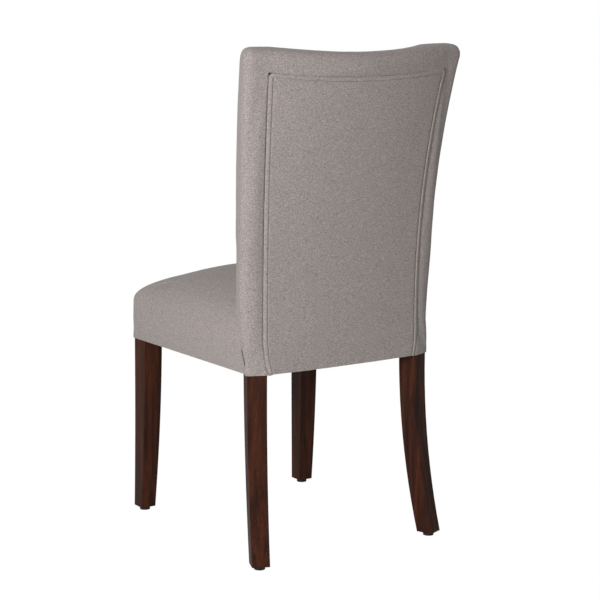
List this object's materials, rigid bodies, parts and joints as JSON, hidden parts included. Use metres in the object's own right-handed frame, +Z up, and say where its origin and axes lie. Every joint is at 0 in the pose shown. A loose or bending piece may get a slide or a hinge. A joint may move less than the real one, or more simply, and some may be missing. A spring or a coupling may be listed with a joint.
{
  "type": "parsons chair",
  "caption": "Upholstered armless dining chair with a box seat, a tall bowed back with a welted rear panel, and dark wooden legs that kick forward in front and sweep back behind.",
  "frame": {"origin": "on the floor, under the centre of the chair's bounding box", "axes": "+Z up, -Y the way the sitter faces, +X the sitter's left"},
  "size_m": [0.5004, 0.564, 1.016],
  "materials": {
    "upholstery": "finely woven warm grey-taupe upholstery fabric, matt",
    "stained_wood": "dark walnut-stained hardwood, satin lacquer",
    "frame_wood": "plain unfinished frame hardwood",
    "foam": "cream upholstery foam with wadding",
    "webbing": "woven elastic webbing",
    "dust_cloth": "thin black non-woven cloth",
    "glide_plastic": "black moulded plastic",
    "hardware_steel": "zinc-plated steel"
  },
  "bodies": {
    "root": {"seat_cover": "upholstery", "back_cover": "upholstery", "outside_back_panel": "upholstery", "back_welt": "upholstery", "seat_foam": "foam", "back_foam": "foam", "webbing_lengthwise": "webbing", "webbing_crosswise": "webbing", "back_webbing": "webbing", "dust_cover": "dust_cloth", "front_rail": "frame_wood", "rear_rail": "frame_wood", "side_rail_left": "frame_wood", "side_rail_right": "frame_wood", "crest_rail": "frame_wood", "lumbar_rail": "frame_wood", "leg_bolts": "hardware_steel", "leg_washers": "hardware_steel", "leg_nuts": "hardware_steel", "front_leg_left": "stained_wood", "glide_front_left": "glide_plastic", "corner_block_front_left": "frame_wood", "rear_leg_left": "stained_wood", "glide_rear_left": "glide_plastic", "corner_block_rear_left": "frame_wood", "front_leg_right": "stained_wood", "glide_front_right": "glide_plastic", "corner_block_front_right": "frame_wood", "rear_leg_right": "stained_wood", "glide_rear_right": "glide_plastic", "corner_block_rear_right": "frame_wood"}
  },
  "joints": []
}
